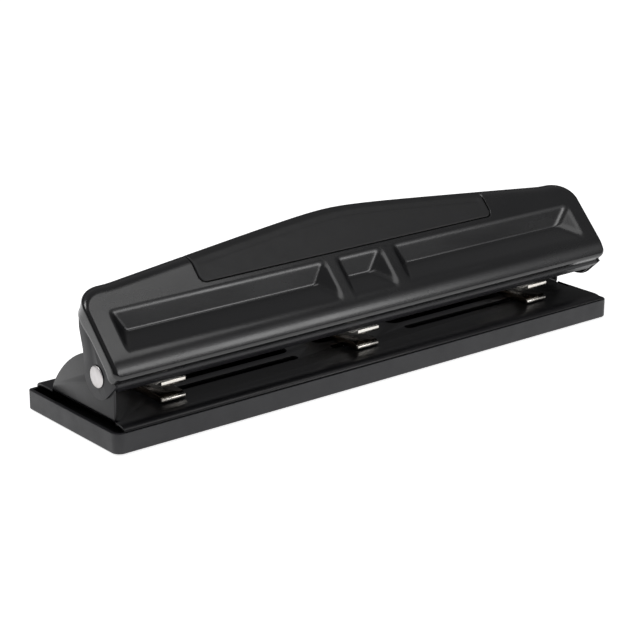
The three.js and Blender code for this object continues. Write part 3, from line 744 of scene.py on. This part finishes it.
def grip_pad():
    """The rubber pad: rounded corners and edges, and a shallow groove where it starts to roll over."""
    groove_width, groove_depth = 0.9, 0.28
    # Bands of rows that keep to the lower edge, lead into the roll and keep to the far end.
    low_band, lead, end_band = 4.0, 1.6, 2.6
    edge = [0, 0.06, 0.16, 0.3, PAD_EDGE]
    half = graded([(0, 1.6), (PAD_HALF - PAD_CORNER, 0.5), (PAD_HALF - PAD_EDGE, 1)])
    columns = mirrored(half + [PAD_HALF - e for e in reversed(edge[:-1])])
    rows = [("low", e) for e in [*edge, *np.linspace(1.1, low_band, 6)]]
    rows += [("mid", t) for t in np.linspace(0, 1, 24)[1:]]
    rows += [("roll", t) for t in np.linspace(0, 1, 16)[1:]]
    rows += [("end", e) for e in (2.0, 1.2, *reversed(edge))]

    def spot(x, row):
        """Where a grid point lies on the pad, how far inside its outline, and where the roll starts."""
        kind, amount = row
        top = gable(x)
        end = top + ROLL_LENGTH + PAD_SKIRT
        if kind == "low":
            s = PAD_START + amount
        elif kind == "mid":
            s = PAD_START + low_band + amount * (top - lead - PAD_START - low_band)
        elif kind == "roll":
            s = top - lead + amount * (end - end_band - top + lead)
        else:
            s = end - amount
        a = abs(x) - (PAD_HALF - PAD_CORNER)
        for base, way in ((PAD_START + PAD_CORNER, -1), (end - PAD_CORNER, 1)):
            b = way * (s - base)
            if a > 0 and b > 0:
                out, turn = corner_place(a / PAD_CORNER, b / PAD_CORNER)
                angle, reach = turn * math.pi / 2, out * PAD_CORNER
                x = math.copysign(PAD_HALF - PAD_CORNER + reach * math.cos(angle), x)
                return x, base + way * reach * math.sin(angle), PAD_CORNER - reach, top
        return x, s, min(PAD_HALF - abs(x), s - PAD_START, end - s), top

    outer, inner, points = {}, {}, []
    for i, x in enumerate(columns):
        for j, row in enumerate(rows):
            px, s, inset, top = spot(x, row)
            e = min(max(inset, 0.0), PAD_EDGE)
            dip = PAD_EDGE - math.sqrt(max(0.0, PAD_EDGE**2 - (PAD_EDGE - e) ** 2))
            groove = groove_depth * math.exp(-(((s - top + 0.6) / groove_width) ** 2))
            groove *= smooth_step((PAD_HALF - 2.2 - abs(px)) / 1.5)
            outer[i, j] = len(points)
            points.append(over_roll(px, s, dip + groove))
            inner[i, j] = len(points)
            points.append(over_roll(px, s, PAD_THICK))
    nx, ny = len(columns), len(rows)
    faces = []
    for i in range(nx - 1):
        for j in range(ny - 1):
            corners = [(i, j), (i + 1, j), (i + 1, j + 1), (i, j + 1)]
            faces.append([outer[c] for c in corners])
            faces.append([inner[c] for c in reversed(corners)])
    loop = grid_rim(nx, ny)
    for a, b in zip(loop, loop[1:] + loop[:1]):
        faces.append([outer[a], inner[a], inner[b], outer[b]])
    obj = mesh_object("grip", points, faces)
    tidy_mesh(obj)
    return piece(obj, "handle", GRIP_RUBBER, "grip_pad", angle=60)


# ---- lever frame, its fasteners and the press bar ----
def bent_sheet(path, thick):
    """Outline of a sheet folded along a path of (v, d) points, thickened to its left."""
    middle = rounded(path, 1.6, 6)
    left, right = [], []
    for i, here in enumerate(middle):
        a = Vector(middle[max(0, i - 1)])
        b = Vector(middle[min(len(middle) - 1, i + 1)])
        along = (b - a).normalized()
        across = Vector((-along.y, along.x)) * (thick / 2)
        left.append(tuple(Vector(here) + across))
        right.append(tuple(Vector(here) - across))
    return left + right[::-1]


def flange_outline():
    """An end flange of the lever: inside the cover's roll, then round the lobe that holds its rivet."""
    inset = 3 + GAP
    radius = TOP_ROLL - inset
    top = gable(COVER_HALF) - 4.5
    rolled = [(FLANGE_FOOT, inset)]
    for k in range(FOLD_STEPS + 1):
        bend = TOP_TURN * k / FOLD_STEPS
        rolled.append((top + radius * math.sin(bend), TOP_ROLL - radius * math.cos(bend)))
    v, d = rolled[-1]
    rolled.append((v + REAR_SKIRT * math.cos(TOP_TURN), d + REAR_SKIRT * math.sin(TOP_TURN)))
    outline = along_panel(rolled)
    outline.append((PIVOT_Y + LOBE + 0.6, PIVOT_Z + 9))
    outline += arc(PIVOT_Y, PIVOT_Z, LOBE, 8, math.degrees(TILT) - 180, 40)
    outline += along_panel([(-WALL_DROP, WEB_DEPTH), (FLANGE_FOOT, WEB_DEPTH)])
    return outline


def lever_frame():
    outer = FLANGE_INNER + LEVER_THICK
    middle = WEB_DEPTH + LEVER_THICK / 2
    drop = LEVER_THICK / 2 - WALL_DROP
    folded = bent_sheet([(WEB_TOP, middle), (drop, middle), (drop, WALL_END)], LEVER_THICK)
    lever = slab_x("lever", along_panel(folded), -outer + 0.2, outer - 0.2)
    ends = ((FLANGE_INNER, outer), (-outer, -FLANGE_INNER))
    flanges = [slab_x("flange", flange_outline(), *end) for end in ends]
    hooks = []
    for x in HANGERS:
        outline = along_panel([(21, WEB_DEPTH + 0.5), (WEB_TOP, WEB_DEPTH + 0.5)])
        outline += arc(BAR.y, BAR.z, 5, 50, -120, 24)
        hooks.append(slab_x("hanger", outline, x - HANGER_HALF, x + HANGER_HALF))
    combine(lever, "UNION", *flanges, *hooks)
    beside = EAR_INNER - 0.5
    cuts = []
    # The web and the lower wall are notched at their ends, where the ears swing past them.
    for v0, d0, v1, d1 in ((3, 5, 14, 9), (-3, 10.2, 1, 14)):
        box = along_panel([(v0, d0), (v1, d0), (v1, d1), (v0, d1)])
        cuts += [slab_x("notch", box, beside, FLANGE_INNER), slab_x("notch", box, -FLANGE_INNER, -beside)]
    for x in COVER_SCREWS:
        cuts.append(drill(1.7, 5, 9, about_panel(x), 32))
    cuts.append(drill(SHANK + GAP, -LENGTH, LENGTH, about_x(PIVOT_Y, PIVOT_Z), 48))
    reach = BAR_HALF + 2
    cuts.append(drill(BAR_RADIUS + GAP, -reach, reach, about_x(BAR.y, BAR.z), 48))
    combine(lever, "DIFFERENCE", *cuts)
    tidy_mesh(lever, flat=0.3)
    bevelled(lever, EDGE_BREAK)
    return piece(lever, "handle", LEVER_ENAMEL, "lever_frame", name="lever")


def about_panel(x):
    """Round the axis of a cover screw, square to the front panel."""
    return lambda a, b, d: panel_point(x + a, SCREW_V + b, d)


def cross_drive(screw, centre, across, up, along, size, depth):
    """Cuts a cross recess into a screw head. centre is on its face and along points into it."""
    for first, second in ((across, up), (up, across)):
        points = []
        for h, narrow in ((-0.5, 1.0), (depth, 0.55)):
            for s, t in ((-1, -1), (1, -1), (1, 1), (-1, 1)):
                wide, slim = first * s * size * narrow, second * t * size * 0.24 * narrow
                points.append(centre + wide + slim + along * h)
        sides = [[i, (i + 1) % 4, 4 + (i + 1) % 4, 4 + i] for i in range(4)]
        box = mesh_object("drive", points, [[3, 2, 1, 0], [4, 5, 6, 7], *sides])
        tidy_mesh(box)
        combine(screw, "DIFFERENCE", box)


def cover_screws():
    seat = WEB_DEPTH + LEVER_THICK + GAP
    crown = seat + 1.8
    head = [(2.4, seat), (2.4, seat + 1.0), (1.9, seat + 1.6), (1.0, crown), (0, crown)]
    root, crest, turns = 1.05, 1.3, 9
    thread = [(0, 3.2)]
    for k in range(turns):
        d = 3.3 + (seat - 3.6) * k / turns
        thread += [(root, d), (crest, d + 0.22)]
    profile = [*thread, (crest, seat), *head]
    up = Vector(panel_point(0, 1, 0)) - Vector(panel_point(0, 0, 0))
    inward = Vector(panel_point(0, 0, 0)) - Vector(panel_point(0, 0, 1))
    for i, x in enumerate(COVER_SCREWS, 1):
        screw = lathe("screw", profile, about_panel(x), 40)
        face = Vector(panel_point(x, SCREW_V, crown))
        cross_drive(screw, face, Vector((1, 0, 0)), up, inward, 1.3, 1.0)
        piece(screw, "handle", BRIGHT_STEEL, f"cover_screw_{i}", name=f"rear_screw_{i}")


def press_bar():
    ends = [(0, -BAR_HALF), (BAR_RADIUS, -BAR_HALF), (BAR_RADIUS, BAR_HALF), (0, BAR_HALF)]
    bar = lathe("bar", rounded(ends, 0.6), about_x(BAR.y, BAR.z))
    piece(bar, "handle", BRIGHT_STEEL, "press_bar")
    start = HANGERS[-1] + HANGER_HALF + GAP
    inner, outer, thick = BAR_RADIUS + GAP, 5.5, 0.8
    for place, sign in (("left", -1), ("right", 1)):
        ring = washer(inner, outer, start, start + thick, start + thick / 2)
        clip = lathe("clip", rounded(ring, 0.18, 3), about_x(BAR.y, BAR.z, sign))
        piece(clip, "handle", BRIGHT_STEEL, "bar_clip_" + place, name="bar_ring_" + place)


# ---- base frame, rivets, tray and feet ----
def plate_outline():
    """The base plate from the side: a round fold at the rear and a longer eased one at the front."""
    low = TRAY_HIGH.z + GAP
    outer = DEPTH / 2 - PLATE_MARGIN
    centre = outer - PLATE_ROLL
    z = PLATE_TOP - PLATE_ROLL
    inner = PLATE_ROLL - PLATE_THICK
    front = FRONT_EASE - outer

    def eased(reach, rise, start, end, steps):
        return [(front + y * reach, z + h * rise) for y, h in arc(0, 0, 1, start, end, steps)]

    return [
        *arc(centre, z, PLATE_ROLL, 0, 90, 14), *eased(FRONT_EASE, PLATE_ROLL, 90, 180, 24),
        (-outer, low), (-outer + PLATE_THICK, low),
        *eased(FRONT_EASE - PLATE_THICK, inner, 180, 90, 12), *arc(centre, z, inner, 90, 0, 8),
        (outer - PLATE_THICK, low), (outer, low),
    ]


def ear_top():
    return [*arc(PIVOT_Y, PIVOT_Z, EAR_HEAD, 180, 90, 28), *arc(FRONT + 10.75, -12.7, 52.7, 76, 31.4, 48)]


def left_ear(foot):
    return [(PIVOT_Y - EAR_HEAD, foot), *ear_top(), (EAR_REAR, foot)]


def right_ear(foot):
    """The right ear stands on a post behind its pivot, which leaves a slot for longer sheets."""
    under = PIVOT_Z - EAR_HEAD
    return [(POST_FRONT, foot), *arc(POST_FRONT - 3, under - 3, 3, 0, 90, 10),
            *arc(PIVOT_Y, PIVOT_Z, EAR_HEAD, 270, 190, 20), *ear_top(), (EAR_REAR, foot)]


def ear(side, outline, front):
    """An upright ear and the fold that joins it to the plate."""
    centre_x = EAR_OUTER - EAR_BEND
    centre_z = PLATE_TOP - PLATE_THICK + EAR_BEND
    ends = (EAR_INNER, EAR_OUTER) if side > 0 else (-EAR_OUTER, -EAR_INNER)
    wall = slab_x("ear", outline(centre_z), *ends)
    section = [*arc(centre_x, centre_z, EAR_BEND, -90, 0, 12),
               *arc(centre_x, centre_z, EAR_BEND - PLATE_THICK, 0, -90, 12),
               (centre_x - 3, PLATE_TOP), (centre_x - 3, PLATE_TOP - PLATE_THICK)]
    fold = prism("fold", section, front, EAR_REAR, lambda x, z, y: (side * x, y, z))
    return combine(wall, "UNION", fold)


def long_slot(x0, x1, y, radius):
    outline = arc(x1, y, radius, -90, 90, 20) + arc(x0, y, radius, 90, 270, 20)
    return slab_z("slot", outline, PLATE_TOP - 2 * PLATE_THICK, PLATE_TOP + PLATE_THICK)


def box_tool(x0, x1, y0, y1, z0, z1):
    return slab_z("box", [(x0, y0), (x1, y0), (x1, y1), (x0, y1)], z0, z1)


def base_frame():
    end = EAR_OUTER
    plate = slab_x("base", plate_outline(), -end, end)
    relief = EAR_OUTER - EAR_BEND
    left_front = PIVOT_Y - EAR_HEAD
    low, high, rear = TRAY_HIGH.z, PLATE_TOP + 1, EAR_REAR + EAR_RELIEF
    combine(plate, "DIFFERENCE",
            box_tool(-end - 1, -relief, left_front - EAR_RELIEF, rear, low, high),
            box_tool(relief, end + 1, POST_FRONT - EAR_RELIEF, rear, low, high),
            box_tool(relief, relief + 2, POST_FRONT - 10, POST_FRONT, low, high))
    combine(plate, "UNION", ear(-1, left_ear, left_front), ear(1, right_ear, POST_FRONT))
    cuts = [drill(SHANK + GAP, -LENGTH, LENGTH, about_x(PIVOT_Y, PIVOT_Z), 48)]
    for place, home in HEADS.items():
        start, finish = {
            "left": (home, home + OUTER_TRAVEL),
            "centre": (home - CENTRE_TRAVEL, home + CENTRE_TRAVEL),
            "right": (home - OUTER_TRAVEL, home),
        }[place]
        cuts += [long_slot(start, finish, PIN.y, CHIP_SLOT), long_slot(start, finish, SCREW_Y, CLAMP_SLOT)]
    combine(plate, "DIFFERENCE", *cuts)
    tidy_mesh(plate, flat=0.3)
    bevelled(plate, EDGE_BREAK)
    return piece(plate, "base", BASE_ENAMEL, "base_frame", name="base")


def pivot_rivets():
    inside = EAR_INNER - GAP
    outside = FLANGE_INNER + LEVER_THICK + GAP
    rim, rise, steps = 0.15, 0.6, 8
    dome = [(RIVET_HEAD, outside), (RIVET_HEAD, outside + rim)]
    for k in range(1, steps + 1):
        angle = math.pi / 2 * k / steps
        radius = RIVET_HEAD * math.cos(angle) ** 0.8 if k < steps else 0
        dome.append((radius, outside + rim + rise * math.sin(angle)))
    profile = [(0, inside - 1), (3.4, inside - 1), (3.85, inside - 0.75), (4, inside - 0.4), (4, inside),
               (SHANK, inside), (SHANK, outside), *dome]
    for place, sign in (("left", -1), ("right", 1)):
        rivet = lathe("rivet", profile, about_x(PIVOT_Y, PIVOT_Z, sign))
        piece(rivet, "base", RIVET_NICKEL, "pivot_rivet_" + place, name="rivet_" + place)


FEET = ("front_left", "front_right", "rear_left", "rear_right")


def rounded_rectangle(half_x, half_y, front, rear):
    corners = ((1, 1, 0, rear), (-1, 1, 90, rear), (-1, -1, 180, front), (1, -1, 270, front))
    points = []
    for cx, cy, start, radius in corners:
        points += arc(cx * (half_x - radius), cy * (half_y - radius), radius, start, start + 90, 10)
    return points


def chip_tray():
    """A shallow moulded tray with rounded rims, from loops of (inset, height)."""
    low, high = TRAY_LOW.z, TRAY_HIGH.z
    middle, shoulder = 9.0, high - 0.2
    profile = [(middle, low), (1.0, low), (0.0, low + 0.35), (0.0, shoulder), (0.15, high),
               (TRAY_WALL - 0.1, high), (TRAY_WALL, shoulder), (TRAY_WALL, low + TRAY_WALL),
               (middle, low + TRAY_WALL)]
    profile = [profile[0], *rounded(profile[1:-1], 0.6, 4), profile[-1]]
    points, loops = [], []
    for inset, z in profile:
        front, rear = max(TRAY_CORNER - inset, 0.4), max(TRAY_REAR_CORNER - inset, 0.3)
        outline = rounded_rectangle(LENGTH / 2 - inset, DEPTH / 2 - inset, front, rear)
        loops.append(range(len(points), len(points) + len(outline)))
        points += [(x, y, z) for x, y in outline]
    faces = []
    for a, b in zip(loops, loops[1:]):
        n = len(a)
        faces += [[a[k], a[(k + 1) % n], b[(k + 1) % n], b[k]] for k in range(n)]
    faces += [list(loops[0])[::-1], list(loops[-1])]
    obj = mesh_object("tray", points, faces)
    tidy_mesh(obj)
    for place in FEET:
        foot_low, foot_high = cad_box("foot_pad_" + place)
        centre = (foot_low + foot_high) / 2
        radius = (foot_high.x - foot_low.x) / 2 + GAP
        combine(obj, "DIFFERENCE", drill(radius, -1, foot_high.z + GAP, about_z(centre.x, centre.y), 64))
    return piece(obj, "tray", TRAY_PLASTIC, "chip_tray", angle=40)


def feet():
    for place in FEET:
        low, high = cad_box("foot_pad_" + place)
        centre = (low + high) / 2
        radius = (high.x - low.x) / 2
        hollow = low.z + 0.12
        profile = [(0, hollow), (radius - 1.6, hollow), (radius - 1.2, low.z), (radius - 0.3, low.z),
                   (radius, low.z + 0.2), (radius, high.z), (0, high.z)]
        foot = lathe("foot", rounded(profile, 0.15, 3), about_z(centre.x, centre.y))
        piece(foot, "tray", FOOT_RUBBER, "foot_pad_" + place, name="foot_" + place)


# ---- punch heads ----
def jaw_outline():
    """A jaw frame from the side: one strip bent back on itself, its upper lip flared."""
    low = PLATE_TOP + GAP
    high = UPPER_JAW_BOTTOM + JAW_THICK
    middle = (low + high) / 2
    gap_middle = (UPPER_JAW_BOTTOM + LOWER_JAW_TOP) / 2
    mouth = JAW_FRONT + 4.5
    lip = high + JAW_FLARE
    upper = rounded([
        (JAW_BACK, high), (mouth, high), (JAW_FRONT + 0.9, lip), (JAW_FRONT, lip),
        (JAW_FRONT, lip - JAW_THICK), (mouth + 0.4, UPPER_JAW_BOTTOM), (JAW_BACK, UPPER_JAW_BOTTOM)], 1.0, 6)
    lower = rounded([
        (JAW_BACK, LOWER_JAW_TOP), (JAW_FRONT + 2.6, LOWER_JAW_TOP), (JAW_FRONT, LOWER_JAW_TOP - 1.2),
        (JAW_FRONT, low), (JAW_BACK, low)], 0.7, 6)
    return [
        *upper, *arc(JAW_BACK, gap_middle, gap_middle - LOWER_JAW_TOP, 90, -90, 16)[1:-1],
        *lower, *arc(JAW_BACK, middle, high - middle, -90, 90, 24)[1:-1],
    ]


def jaw_frame(place, x):
    jaw = slab_x("jaw", jaw_outline(), x - JAW_WIDTH / 2, x + JAW_WIDTH / 2)
    combine(jaw, "DIFFERENCE",
            drill(PIN_BORE, 0, 30, about_z(x, PIN.y), 64),
            drill(SCREW_RADIUS + GAP, 0, LOWER_JAW_TOP - 0.6, about_z(x, SCREW_Y), 40))
    tidy_mesh(jaw, flat=0.3)
    bevelled(jaw, 0.28, 3)
    piece(jaw, "head_" + place, JAW_NICKEL, "jaw_frame_" + place, name="jaw_" + place)


def turned_piece(name, profile, x, body, look, node, soften=0.2):
    """A piece turned round the punch pin's axis, with its edges softened."""
    obj = lathe(name, rounded(profile, soften, 3), about_z(x, PIN.y))
    return piece(obj, body, look, node)


def spring(place, x):
    """A compression spring with closed end coils."""
    low, high = cad_box("return_spring_" + place)
    wire = 0.55
    radius = (high.x - low.x) / 2 - wire
    turns, per_turn, around = 5, 36, 12
    z0, z1 = low.z + wire, high.z - wire
    points, faces = [], []
    steps = turns * per_turn
    for i in range(steps + 1):
        t = i / steps
        eased = t - 0.115 * math.sin(2 * math.pi * t)
        z = z0 + (z1 - z0) * eased
        angle = 2 * math.pi * turns * t
        out = Vector((math.cos(angle), math.sin(angle), 0))
        centre = Vector((x, PIN.y, z)) + out * radius
        for k in range(around):
            a = 2 * math.pi * k / around
            points.append(centre + out * (wire * math.cos(a)) + Vector((0, 0, wire * math.sin(a))))
    for i in range(steps):
        for k in range(around):
            n = (k + 1) % around
            faces.append([i * around + k, i * around + n, (i + 1) * around + n, (i + 1) * around + k])
    faces += [list(range(around))[::-1], list(range(steps * around, (steps + 1) * around))]
    obj = mesh_object("coil_" + place, points, faces)
    tidy_mesh(obj)
    piece(obj, "head_" + place, SPRING_STEEL, "return_spring_" + place, angle=50)
    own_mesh(obj)


def punch_head(place, x):
    head, pin = "head_" + place, "pin_" + place
    jaw_frame(place, x)
    spring(place, x)
    bush_low, bush_high = cad_box("guide_bush_" + place)
    bore, barrel, flange = PIN_BORE, 4.7, 6.0
    foot, shelf, crown = bush_low.z, bush_low.z + 0.8, bush_high.z
    turned_piece("bush_" + place, [
        (bore, foot + 3), (bore, foot), (flange, foot), (flange, shelf), (barrel, shelf), (barrel, crown),
        (bore, crown), (bore, foot + 3)], x, head, BRIGHT_STEEL, "guide_bush_" + place)
    clip_low, clip_high = cad_box("retaining_clip_" + place)
    pin_low, pin_high = cad_box("punch_pin_" + place)
    r, neck = HOLE_RADIUS, PIN_NECK
    groove_low, groove_high = clip_low.z - GAP, clip_low.z + 1
    turned_piece("pin_" + place + "_shaft", [
        (0, pin_low.z + 1.2), (r - 0.02, pin_low.z), (r, pin_low.z + 0.1), (r, groove_low),
        (neck, groove_low), (neck, groove_high), (r, groove_high), (r, pin_high.z - 0.5),
        (r * 0.75, pin_high.z - 0.15), (0, pin_high.z)], x, pin, HARDENED_STEEL, "punch_pin_" + place, 0.12)
    washer_low, washer_high = cad_box("spring_washer_" + place)
    middle = (washer_low.z + washer_high.z) / 2
    ring = washer(r + GAP, 6.4, washer_low.z, washer_high.z, middle)
    turned_piece("washer_" + place, ring, x, pin, WASHER_NICKEL, "spring_washer_" + place)
    ring = washer(neck + GAP, 5.2, clip_low.z, clip_high.z, clip_low.z + 0.3)
    clip = lathe("clip", ring, about_z(x, PIN.y))
    mouth = box_tool(x - 2, x + 2, PIN.y + 1, PIN.y + 8, clip_low.z - 1, clip_high.z + 1)
    combine(clip, "DIFFERENCE", mouth)
    bevelled(clip, 0.1)
    piece(clip, pin, SPRING_STEEL, "retaining_clip_" + place, name="clip_" + place)
    screw_low, screw_high = cad_box("clamp_screw_" + place)
    under = PLATE_TOP - PLATE_THICK - GAP
    crest, root, pitch = SCREW_RADIUS, 1.6, 0.45
    thread = []
    for k in range(6):
        z = under + 0.4 + k * pitch
        thread += [(crest, z), (root, z + 0.22)]
    screw = lathe("clamp", [
        (0, screw_low.z), (3.9, screw_low.z), (4.3, screw_low.z + 0.4), (4.3, under - 0.2), (4.1, under),
        (crest, under), *thread, (root, screw_high.z - 0.2), (1.4, screw_high.z), (0, screw_high.z)],
        about_z(x, SCREW_Y), 56)
    face = Vector((x, SCREW_Y, screw_low.z))
    cross_drive(screw, face, Vector((1, 0, 0)), Vector((0, 1, 0)), Vector((0, 0, 1)), 2.2, 1.2)
    piece(screw, head, WASHER_NICKEL, "clamp_screw_" + place, name="clamp_" + place)


# ---- studio: camera, floor and light ----
def aim(obj, target, roll=0.0):
    back = (obj.location - target).normalized()
    obj.rotation_mode = "QUATERNION"
    turn = Matrix.Rotation(math.radians(roll), 3, "Z")
    obj.rotation_quaternion = ((-back).to_track_quat("-Z", "Y").to_matrix() @ turn).to_quaternion()


def camera():
    azimuth, elevation, distance = math.radians(-39.03), math.radians(18.67), 0.902
    target = Vector((-10.4, 0, 21.8)) * MM
    data = bpy.data.cameras.new("camera")
    data.lens, data.sensor_width = 110.25, 36
    data.clip_start, data.clip_end = 0.05, 20
    cam = bpy.data.objects.new("camera", data)
    scene.collection.objects.link(cam)
    away = Vector((math.sin(azimuth) * math.cos(elevation), -math.cos(azimuth) * math.cos(elevation),
                   math.sin(elevation)))
    cam.location = target + away * distance
    aim(cam, target, 0.15)
    scene.camera = cam


def softbox(name, place, size, power):
    """A soft lamp that faces the punch."""
    data = bpy.data.lights.new(name, "AREA")
    data.shape = "RECTANGLE"
    data.size, data.size_y = size
    data.energy = power
    lamp = bpy.data.objects.new(name, data)
    scene.collection.objects.link(lamp)
    lamp.location = place
    aim(lamp, Vector((0, 0, 0.03)))


def floor():
    span = 3.0 / MM
    corners = [(-span, -span, 0), (span, -span, 0), (span, span, 0), (-span, span, 0)]
    obj = mesh_object("floor", corners, [[0, 1, 2, 3]])
    obj.location.z = -0.0002
    n = Nodes("floor")
    colour = n.mix(n.spread(n.noise(6.0, 2.0), 0.0, 1.0), (0.86, 0.86, 0.86), (0.88, 0.88, 0.88))
    n.done(colour, n.spread(n.noise(9.0, 2.0), 0.9, 1.0), n.bump(n.noise(300.0), 0.00002, 0.1))
    n.set(Specular_IOR_Level=0.1, Emission_Color=(1, 1, 1, 1), Emission_Strength=0.8)
    obj.data.materials.append(n.material)


def world():
    """White to the camera. As light, dim overhead, dark round the horizon, with a glow in front."""
    made = bpy.data.worlds.new("studio")
    made.use_nodes = True
    scene.world = made
    tree = made.node_tree
    tree.nodes.clear()
    link = tree.links.new

    def add(kind):
        return tree.nodes.new("ShaderNode" + kind)

    seen, lit, mix = add("Background"), add("Background"), add("MixShader")
    place, total = add("TexCoord"), add("Math")
    # Each glow has a direction, the cosines between which it rises, and its strengths there.
    glows = (((0.0, 0.0, 1.0), 0.25, 0.6, 0.045, 0.25), ((0.56, -0.74, 0.37), 0.94, 0.99, 0.0, 0.7))
    for socket, (toward, *rise) in zip(total.inputs, glows):
        dot, glow = add("VectorMath"), add("MapRange")
        dot.operation = "DOT_PRODUCT"
        dot.inputs[1].default_value = Vector(toward).normalized()
        for target, number in zip(glow.inputs[1:5], rise):
            target.default_value = number
        link(place.outputs["Generated"], dot.inputs[0])
        link(dot.outputs["Value"], glow.inputs[0])
        link(glow.outputs[0], socket)
    link(total.outputs[0], lit.inputs["Strength"])
    lit.inputs["Color"].default_value = (0.98, 0.98, 1, 1)
    seen.inputs["Color"].default_value = (1, 1, 1, 1)
    link(add("LightPath").outputs["Is Camera Ray"], mix.inputs[0])
    link(lit.outputs[0], mix.inputs[1])
    link(seen.outputs[0], mix.inputs[2])
    link(mix.outputs[0], add("OutputWorld").inputs["Surface"])


camera()
floor()
world()
softbox("top", (0.30, -0.52, 1.1), (0.72, 0.45), 2.0)
softbox("key", (-0.78, 0.45, 0.98), (0.5, 0.5), 5.0)
softbox("front", (0.66, -1.02, 0.50), (0.40, 0.27), 1.6)
scene.view_settings.view_transform = "Standard"
scene.view_settings.look = "None"

# ---- assembly ----
chip_tray()
feet()
base_frame()
pivot_rivets()
for head_place, head_x in HEADS.items():
    punch_head(head_place, head_x)
lever_frame()
handle_cover()
grip_pad()
cover_screws()
press_bar()
